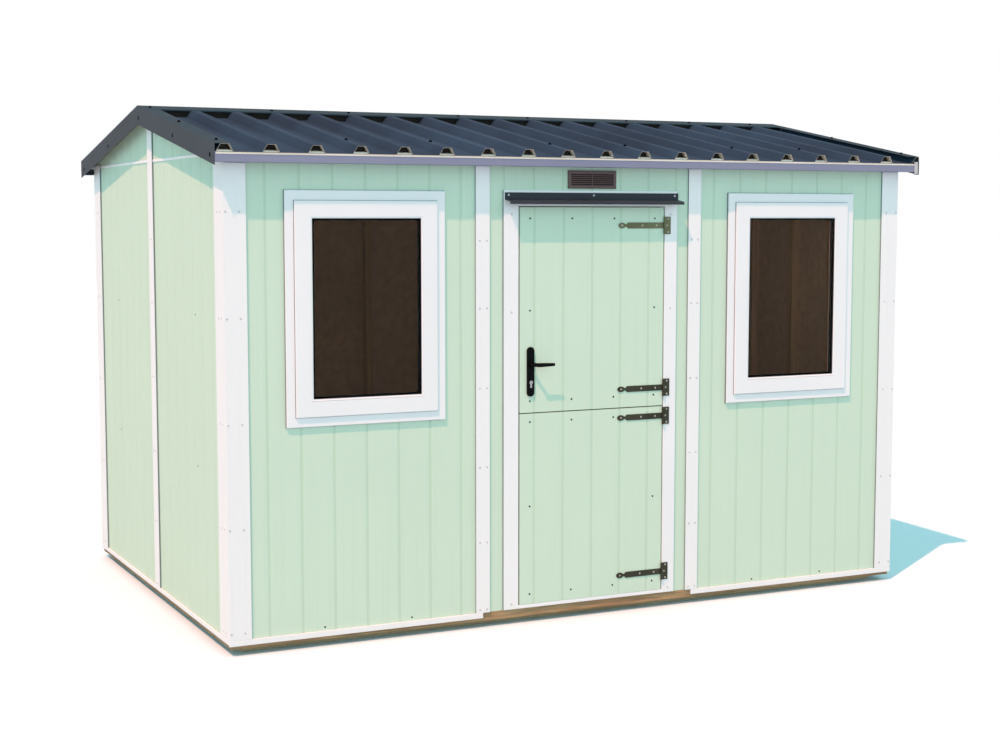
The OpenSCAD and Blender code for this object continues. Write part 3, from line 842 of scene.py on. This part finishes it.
# ---------------------------------------------------------------------------------------------
# Door leaves: the top and the bottom half of a stable door. Mint boards face a ledged and braced
# timber frame, and are screwed through from outside.


def door_leaf(name, node, body):
    """Mint boards and the ledged and braced backing of one leaf."""
    low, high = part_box(node)
    board_t, rail_w, brace_in = 0.016, 0.070, 0.004
    facing = block(name + "_boards", low, (high.x, low.y + board_t, high.z))
    press_grooves(facing, 0, board_lines(middle_bay), front_way)
    paint_boards(facing, body, back_way)
    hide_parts(node)

    back = low.y + board_t
    inner_low = (low.x + rail_w, low.z + rail_w)
    inner_high = (high.x - rail_w, high.z - rail_w)
    ledges = [block("ledge", (low.x, back, low.z), (high.x, high.y, inner_low[1])),
              block("ledge", (low.x, back, inner_high[1]), high),
              block("stile", (low.x, back, inner_low[1]), (inner_low[0], high.y, inner_high[1])),
              block("stile", (inner_high[0], back, inner_low[1]), (high.x, high.y, inner_high[1]))]
    inner_w, inner_h = inner_high[0] - inner_low[0], inner_high[1] - inner_low[1]
    reach = math.hypot(inner_w, inner_h)
    centre = Vector(((low.x + high.x) / 2, 0, (low.z + high.z) / 2))
    brace = block("brace", (centre.x - reach, back, centre.z - rail_w / 2),
                  (centre.x + reach, high.y - brace_in, centre.z + rail_w / 2))
    rise = Matrix.Rotation(-math.atan2(inner_h, inner_w), 4, "Y")
    brace.data.transform(Matrix.Translation(centre) @ rise @ Matrix.Translation(-centre))
    saw_through(brace, [((inner_low[0], 0, 0), left_way), ((inner_high[0], 0, 0), right_way),
                        ((0, 0, inner_low[1]), (0, 0, -1)), ((0, 0, inner_high[1]), (0, 0, 1))],
                use_fill=True, clear_outer=True)
    backing = round_off(join(name + "_frame", ledges + [brace]), 0.0015)
    settle(backing, body, "timber", timber_z)


door_leaf("upper_leaf", "upper_door_leaf", "upper_door")
door_leaf("lower_leaf", "lower_door_leaf", "lower_door")

leaf_screw = screw("leaf_screw", 0.0044, 0.0008, 0.0006)
leaf_columns = (-0.3295, -0.1125, 0.1105, 0.3285)
for name, body, ends, middle_z in (("upper_leaf_screws", "upper_door", (1.864, 1.031), 1.446),
                                   ("lower_leaf_screws", "lower_door", (0.935, 0.134), 0.544)):
    places = [((x, leaf_low.y, z), front_way) for x in leaf_columns for z in ends]
    places += [((x, leaf_low.y, middle_z), front_way) for x in (leaf_columns[0], leaf_columns[-1])]
    fasten(name, leaf_screw, places, body, "black_metal", dark_screw)

# ---------------------------------------------------------------------------------------------
# Tee hinges: pressed steel straps in antique bronze, rolled round a pin and screwed to the
# leaves and the right jamb. The top one, in the shade under the drip bar, gets a paler bronze:
# painted shade.

bronze = plain_finish("antique_bronze", (58, 58, 44), (40, 42, 30), 0.45, 0.2, 90.0, 0.0002, 0.3)
# A paler bronze for how the top hinge looks in the shade of the drip bar: painted shade.
painted_shade_bronze = plain_finish("bronze_in_painted_shade", (116, 120, 92), (96, 98, 72), 0.45, 0.2, 90.0,
                           0.0002, 0.3)
hinge_steel = plain_finish("hinge_screw", (190, 188, 176), (150, 148, 136), 0.4, 0.2)
dress(bronze, "hinge_plates", "upper_hinge_straps", "lower_hinge_straps")
# Faces above this height, under the drip bar, take the paler bronze as painted shade.
painted_shade_z = 1.7
for name in ("hinge_plates", "upper_hinge_straps"):
    mesh = nodes[name].data
    mesh.materials.append(painted_shade_bronze)
    for face in mesh.polygons:
        if face.center.z > painted_shade_z:
            face.material_index = 1
soften(0.0006, "hinge_plates", "upper_hinge_straps", "lower_hinge_straps")

upper_hinges, lower_hinges = (1.831, 1.064), (0.929, 0.176)
hinge_face = leaf_low.y - 0.003
pin_x = 0.3805
hinge_screw = screw("hinge_screw", 0.0046, 0.0010, 0.0009)
for name, heights, body in (("upper", upper_hinges, "upper_door"),
                            ("lower", lower_hinges, "lower_door")):
    strap_places = [((pin_x - off, hinge_face, z), front_way)
                    for z in heights for off in (0.044, 0.121, 0.230)]
    fasten(name + "_strap_screws", hinge_screw, strap_places, body, "hinge_metal", hinge_steel)
plate_places = [((pin_x + out, hinge_face, z + off), front_way)
                for z in upper_hinges + lower_hinges
                for out, off in ((0.020, -0.031), (0.0135, 0), (0.020, 0.031))]
fasten("hinge_plate_screws", hinge_screw, plate_places, "building", "hinge_metal", hinge_steel)

# ---------------------------------------------------------------------------------------------
# Lever handle: long black plates each side of the upper leaf, cast levers on one square spindle,
# and a bright lock cylinder below.

black_coat = plain_finish("black_coat", (7, 9, 10), (12, 14, 15), 0.4, scale=60.0, depth=0.00006,
                          shine=0.05)
dress(black_coat, "handle_plates")
soften(0.0018, "handle_plates")
quarter = math.radians(90)


def lever_grip(name, face, way):
    """One lever: a collar, a neck that sweeps sideways off the plate, then a flat tapered grip."""
    reach, sweep, stub, collar = 0.0445, 0.022, 0.010, 0.006
    neck = rod("neck", 0.0125, collar, (handle_x, face + way * collar / 2, spindle_z),
               (-way * quarter, 0, 0), 24)
    choose_faces(neck, lambda at, n: n.y * way > 0.9)
    bpy.ops.transform.resize(value=(0.9, 1, 0.9), center_override=(handle_x, face, spindle_z))
    bpy.ops.mesh.inset(thickness=0.0022, depth=0)
    for move in ((0, way * stub, 0), (sweep, way * (reach - collar - stub), 0)):
        bpy.ops.mesh.extrude_region_move(TRANSFORM_OT_translate={"value": move})
    bpy.ops.mesh.inset(thickness=0.002, depth=0.0015)
    done()

    y = face + way * reach
    arm = rod("arm", 0.0096, 0.012, (handle_x + sweep - 0.002, y, spindle_z), (0, quarter, 0), 24)
    choose_faces(arm, lambda at, n: True)
    bpy.ops.transform.resize(value=(1, 0.42, 1), center_override=(handle_x, y, spindle_z))
    done()
    for step, wide, tall in ((0.004, 1.0, 1.0), (0.022, 0.94, 0.92), (0.024, 0.94, 0.90),
                             (0.0235, 0.94, 0.88)):
        choose_faces(arm, lambda at, n: n.x > 0.9 and at.x > handle_x)
        tip = max(v.co.x for v in arm.data.vertices) + step
        bpy.ops.mesh.extrude_region_move(TRANSFORM_OT_translate={"value": (step, 0, 0)})
        bpy.ops.transform.resize(value=(1, wide, tall), center_override=(tip, y, spindle_z))
        done()
    for end in (1, -1):
        choose_faces(arm, lambda at, n: n.x * end > 0.9)
        bpy.ops.mesh.inset(thickness=0.0010, depth=0.0010)
        done()
    return join(name, [neck, arm])


lever = join("lever_handles", [lever_grip("outer_grip", plate_low.y, -1),
                               lever_grip("inner_grip", plate_high.y, 1)])
pick(lever)
bpy.ops.object.shade_smooth_by_angle(angle=math.radians(35))
settle(lever, "lever", "black_metal", black_coat)
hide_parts("door_lever")

cylinder_z = 1.110
barrel_z = cylinder_z + 0.008
cylinder_out = 0.004
locks = []
for face, way in ((plate_low.y, -1), (plate_high.y, 1)):
    barrel = rod("barrel", 0.0085, cylinder_out, (handle_x, face + way * cylinder_out / 2, barrel_z),
                 (-way * quarter, 0, 0), 32)
    choose_faces(barrel, lambda at, n: n.y * way > 0.9)
    bpy.ops.mesh.inset(thickness=0.0012, depth=0.0004)
    bpy.ops.mesh.inset(thickness=0.0030, depth=0)
    bpy.ops.transform.resize(value=(0.35, 1, 1.5), center_override=(handle_x, face, barrel_z))
    bpy.ops.mesh.inset(thickness=0.0002, depth=-0.002)
    done()
    y0, y1 = sorted((face, face + way * cylinder_out))
    tail = block("tail", (handle_x - 0.005, y0, cylinder_z - 0.017),
                 (handle_x + 0.005, y1, cylinder_z + 0.004))
    locks += [barrel, round_off(tail, 0.0018, 3)]
settle(join("lock_cylinder", locks), "upper_door", "black_metal", steel)

plate_screw = screw("plate_screw", 0.0036, 0.0008, 0.0006)
screw_in = 0.016
fixing_places = [((handle_x, y, z), way)
                 for y, way in ((plate_low.y, front_way), (plate_high.y, back_way))
                 for z in (plate_low.z + screw_in, plate_high.z - screw_in)]
fasten("handle_screws", plate_screw, fixing_places, "upper_door", "black_metal", black_coat)

# ---------------------------------------------------------------------------------------------
# Drip bar and vent: a folded anthracite bar over the door, held by three pale screws, and a
# brown moulded grille with two banks of slanting slats in the boards above it.

anthracite = plain_finish("anthracite_steel", (50, 57, 65), (43, 50, 58), 0.45, scale=30.0,
                          depth=0.00005, shine=0.2)
dress(anthracite, "door_drip_bar")
soften(0.0005, "door_drip_bar")
drip_low, drip_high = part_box("door_drip_bar")
drip_face = leaf_low.y - 0.003
drip_z = drip_high.z - 0.0117
drip_places = [((x, drip_face, drip_z), front_way)
               for x in (drip_low.x + 0.018, (drip_low.x + drip_high.x) / 2 - 0.001,
                         drip_high.x - 0.020)]
bright_screw = screw("drip_screw", 0.0045, 0.0014, 0.0010)
pale_metal = plain_finish("pale_screw", (212, 214, 218), (190, 192, 196), 0.35, 0.3)
fasten("drip_bar_screws", bright_screw, drip_places, "building", "flashing", pale_metal)

brown_plastic = plain_finish("brown_plastic", (110, 92, 92), (100, 82, 82), 0.5, shine=0.2)
# The slats get a darker brown than the grille they are moulded with: painted shade for the inside of
# the grille.
painted_shade_slat_plastic = plain_finish("vent_slats_in_painted_shade", (72, 44, 42), (56, 34, 34), 0.6, shine=0.2)
dress(brown_plastic, "vent_grille")
soften(0.0008, "vent_grille")
vent_low, vent_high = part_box("vent_grille")
rim, bar = 0.015, 0.005
bank = (vent_high.x - vent_low.x - 2 * rim - bar) / 2
slat_count, slat_half_t, slat_half_d = 6, 0.0012, 0.0025
slat_pitch = (vent_high.z - vent_low.z - 2 * rim) / slat_count
slat_y = vent_high.y - 0.005
slat_turn = Matrix.Rotation(math.radians(38), 4, "X")
slats = []
for start in (vent_low.x + rim, vent_low.x + rim + bank + bar):
    for k in range(slat_count):
        z = vent_low.z + rim + (k + 0.5) * slat_pitch
        slat = block("slat", (start, slat_y - slat_half_d, z - slat_half_t),
                     (start + bank, slat_y + slat_half_d, z + slat_half_t))
        slat.data.transform(Matrix.Translation((0, slat_y, z)) @ slat_turn
                            @ Matrix.Translation((0, -slat_y, -z)))
        slats.append(round_off(slat, 0.0006))
settle(join("vent_slats", slats), "building", "vent_plastic", painted_shade_slat_plastic)

# ---------------------------------------------------------------------------------------------
# Roof sheets: steel rolled with trapezoid ribs, coated anthracite above and cream beneath, laid
# from eaves to ridge on the purlins, closed under the ribs with foam and screwed through their
# crowns.

sheet_steel, sheet_tree, sheet_shader = finish_of("roof_sheet_steel", 0.42, shine=0.0005)
sheet_top = place_group(sheet_tree, patches, Tone=tone(57, 79, 100), Other_Tone=tone(49, 64, 81),
                        Scale=1.4)
sheet_place = add_node(sheet_tree, "TexCoord")
sheet_parts = add_node(sheet_tree, "SeparateXYZ")
sheet_under = add_node(sheet_tree, "Math", "LESS_THAN")
sheet_under.inputs[1].default_value = -0.1
sheet_mix = add_mix(sheet_tree, B=tone(222, 206, 190))
sheet_speck = place_group(sheet_tree, grain, Stretch=(240, 240, 240), Detail=3.0)
wire(sheet_tree,
     (sheet_place.outputs["Normal"], sheet_parts.inputs[0]),
     (sheet_parts.outputs["Z"], sheet_under.inputs[0]),
     (sheet_under.outputs[0], sheet_mix.inputs["Factor"]),
     (sheet_top.outputs["Color"], sheet_mix.inputs["A"]),
     (sheet_mix.outputs["Result"], sheet_shader.inputs["Base Color"]))
add_bump(sheet_tree, sheet_shader, sheet_speck.outputs["Mask"], 0.00005)
dress(sheet_steel, "front_roof_sheet", "back_roof_sheet")

ridge_low, ridge_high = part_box("ridge_cap")
roof_low, roof_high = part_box("front_roof_sheet")
rib_pitch, rib_h, rib_count = 0.200, 0.034, 18
rib_first = roof_low.x + 0.038
cap_gap = 0.0013
cap_lift = rib_h + cap_gap
ridge_face = ridge_high.z - cap_lift / math.cos(slope)


def on_roof(x, down, lift, side):
    """Point on a slope: x, distance down from the ridge, height off the pans, -1 front or 1 back."""
    y = down * math.cos(slope) + lift * math.sin(slope)
    z = ridge_face - down * math.sin(slope) + lift * math.cos(slope)
    return (x, side * y, z)


def off_roof(side):
    """The way that a slope faces."""
    return (0, side * math.sin(slope), math.cos(slope))


def sloped_block(name, x, down, lift, side):
    """Block in the frame of a slope: three (from, to) pairs."""
    made = block(name, (x[0], down[0], lift[0]), (x[1], down[1], lift[1]))
    made.data.transform(Matrix.Translation((0, 0, ridge_face)) @ Matrix.Rotation(-slope, 4, "X"))
    if side < 0:
        made.data.transform(Matrix.Scale(-1, 4, (0, 1, 0)))
        made.data.flip_normals()
    return made


def wedge(x, half, down, lift, side, top):
    """Foam strip across a slope, its top face narrowed or widened by a factor."""
    made = sloped_block("filler", (x - half, x + half), down, lift, side)
    choose_faces(made, lambda at, n: n.z > 0.9)
    bpy.ops.transform.resize(value=(top, 1, 1), center_override=(x, 0, 0))
    done()
    return made


# Pale foam under each rib at the eaves and a pale strip that closes the pans there; dark blocks
# behind it and between the ribs at the ridge are painted shade for the hollows under ribs and cap.
foam = plain_finish("rib_filler", (228, 220, 210), (214, 204, 192), 0.8)
# Dark tone for the shade inside the rib hollows and under the ridge cap: painted shade.
painted_shade_foam = plain_finish("painted_shade_filler", (36, 30, 26), (26, 22, 20), 0.9)
sheet_end = -roof_low.y / math.cos(slope) - 0.008
pale_down, pale_lift = (sheet_end - 0.030, sheet_end - 0.003), (-0.0006, 0.0065)
dark_down, dark_lift = (sheet_end - 0.045, sheet_end - 0.031), (-0.0006, 0.0325)
ridge_down, ridge_lift = (0.105, 0.120), (0.0004, 0.0336)
rib_half, pan_half = 0.036, 0.0615
pale_top, dark_top, ridge_top = 0.90, 0.48, 1.30
lip_low, lip_top = 2.1284, 2.1354
fillers, shade_filler_blocks = [], []
for side in (-1, 1):
    for k in range(rib_count):
        x = rib_first + k * rib_pitch
        fillers.append(wedge(x, rib_half, pale_down, pale_lift, side, pale_top))
        shade_filler_blocks.append(wedge(x, rib_half, dark_down, dark_lift, side, dark_top))
        if k + 1 < rib_count:
            shade_filler_blocks.append(wedge(x + rib_pitch / 2, pan_half, ridge_down, ridge_lift,
                                      side, ridge_top))
    near, far = sorted((side * -(roof_low.y + 0.0075), side * -(roof_low.y + 0.0045)))
    fillers.append(block("lip", (roof_low.x, near, lip_low), (roof_high.x, far, lip_top)))
settle(join("rib_fillers", fillers), "building", "eaves_metal", foam)
settle(join("rib_closures", shade_filler_blocks), "building", "eaves_metal", painted_shade_foam)

roof_screw_finish = plain_finish("roof_screw", (12, 14, 18), (16, 18, 22), 0.6, scale=60.0,
                                 depth=0.00003, shine=0.0005)


def roof_screw():
    """Hexagon head on a rubber washer, looking up +Z."""
    washer = rod("washer", 0.0085, 0.0022, (0, 0, 0.0011))
    head = rod("head", 0.0052, 0.0050, (0, 0, 0.0045), sides=6)
    made = join("roof_screw", [washer, head])
    choose_faces(made, lambda at, n: n.z > 0.9 and at.z > 0.006)
    bpy.ops.mesh.inset(thickness=0.0010, depth=0.0006)
    done()
    return made


hex_screw = roof_screw()
eaves_ribs = (3, 5, 8, 10, 13, 15)
ridge_ribs = (0, *eaves_ribs, 17)
eaves_row, ridge_row = 1.100, 0.067
roof_places = []
for ribs, down, lift in ((eaves_ribs, eaves_row, rib_h), (ridge_ribs, ridge_row, cap_lift)):
    roof_places += [(on_roof(rib_first + k * rib_pitch, down, lift, side), off_roof(side))
                    for side in (-1, 1) for k in ribs]

# ---------------------------------------------------------------------------------------------
# Ridge cap, barge flashings and eaves fascias: folded from the same coated steel, the fascias in
# a paler grey, and screwed on over the ends of the sheets.


def folded_steel(name, colour, other, shine):
    """Coated steel with a fine texture."""
    return plain_finish(name, colour, other, 0.5, scale=24.0, depth=0.00005, shine=shine)


ridge_steel = folded_steel("ridge_steel", (62, 80, 90), (57, 74, 84), 0.0005)
barge_steel = folded_steel("barge_steel", (75, 83, 90), (70, 77, 84), 0.008)
fascia_steel = folded_steel("fascia_steel", (138, 141, 165), (133, 136, 160), 0.1)
flap_steel = folded_steel("flap_steel", (196, 196, 200), (184, 184, 188), 0.2)
dress(ridge_steel, "ridge_cap")
dress(barge_steel, "barge_flashings")
dress(fascia_steel, "eaves_fascias")
hem_down, hem_lift = (0.1335, 0.135), (rib_h - 0.004, cap_lift - 0.0004)
hem = [round_off(sloped_block("hem", (ridge_low.x, ridge_high.x), hem_down, hem_lift, side), 0.0004)
       for side in (-1, 1)]
settle(join("ridge_cap_hems", hem), "building", "flashing", ridge_steel)

barge_side_rows, barge_side_lift = (0.636, 1.225), cap_lift - 0.057
barge_top_rows, barge_top_in = (0.605, 1.189), 0.036
barge_low, barge_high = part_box("barge_flashings")
barge_places = []
for x, way in ((barge_low.x, left_way), (barge_high.x, right_way)):
    barge_places.append(((x, -0.015, ridge_high.z - 0.060), way))
    for side in (-1, 1):
        barge_places += [(on_roof(x, down, barge_side_lift, side), way) for down in barge_side_rows]
        roof_places += [(on_roof(x - way[0] * barge_top_in, down, cap_lift, side), off_roof(side))
                        for down in barge_top_rows]
fasten("roof_screws", hex_screw, roof_places, "building", "flashing", roof_screw_finish)

# The barges are dimpled round each screw, so that no head stands out past the roof.
barges = nodes["barge_flashings"].copy()
barges.data = barges.data.copy()
barges.name = "dimpled_barges"
bpy.context.scene.collection.objects.link(barges)
edit(barges)
bpy.ops.mesh.select_all(action="SELECT")
bpy.ops.mesh.remove_doubles(threshold=0.00001)
done()
dimple = 0.0009
for point, way in barge_places:
    cut_away(barges, rod("punch", 0.0112, 2 * dimple, point, (0, quarter, 0)))
settle(barges, "building", "flashing", barge_steel, ridge_steel)
for face in barges.data.polygons:
    face.material_index = 1 if face.normal.z > 0.5 else 0
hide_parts("barge_flashings")
flat_screw = screw("barge_screw", 0.0107, 0.0005, 0.0002)
sunk_places = [((x - way[0] * dimple, y, z), way) for (x, y, z), way in barge_places]
fasten("barge_screws", flat_screw, sunk_places, "building", "flashing", roof_screw_finish)

# A pale flap closes each end of the right barge, inside a folded edge.
flap_left, flap_right, fold_right = (barge_high.x - off for off in (0.028, 0.007, 0.001))
fold_foot, flap_foot, flap_top, fold_top = 2.0825, 2.086, 2.146, 2.150
flaps, flap_edges = [], []
for side in (-1, 1):
    face_y = side * (barge_high.y + 0.0002)
    near, far = sorted((face_y, face_y + side * 0.0016))
    flaps.append(block("flap", (flap_left, near, flap_foot), (flap_right, far, flap_top)))
    near, far = sorted((face_y, face_y + side * 0.0026))
    flap_edges += [block("flap_edge", (flap_right, near, fold_foot), (fold_right, far, fold_top)),
                   block("flap_edge", (flap_left, near, fold_foot), (flap_right, far, flap_foot))]
settle(join("barge_flaps", flaps), "building", "flashing", flap_steel)
settle(join("barge_flap_folds", flap_edges), "building", "flashing", barge_steel)

for head in (trim_screw, panel_screw, leaf_screw, hinge_screw, plate_screw, bright_screw,
             hex_screw, flat_screw):
    bpy.data.objects.remove(head)

# ---------------------------------------------------------------------------------------------
# The size of the dressed model, floor left out.

low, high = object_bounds()
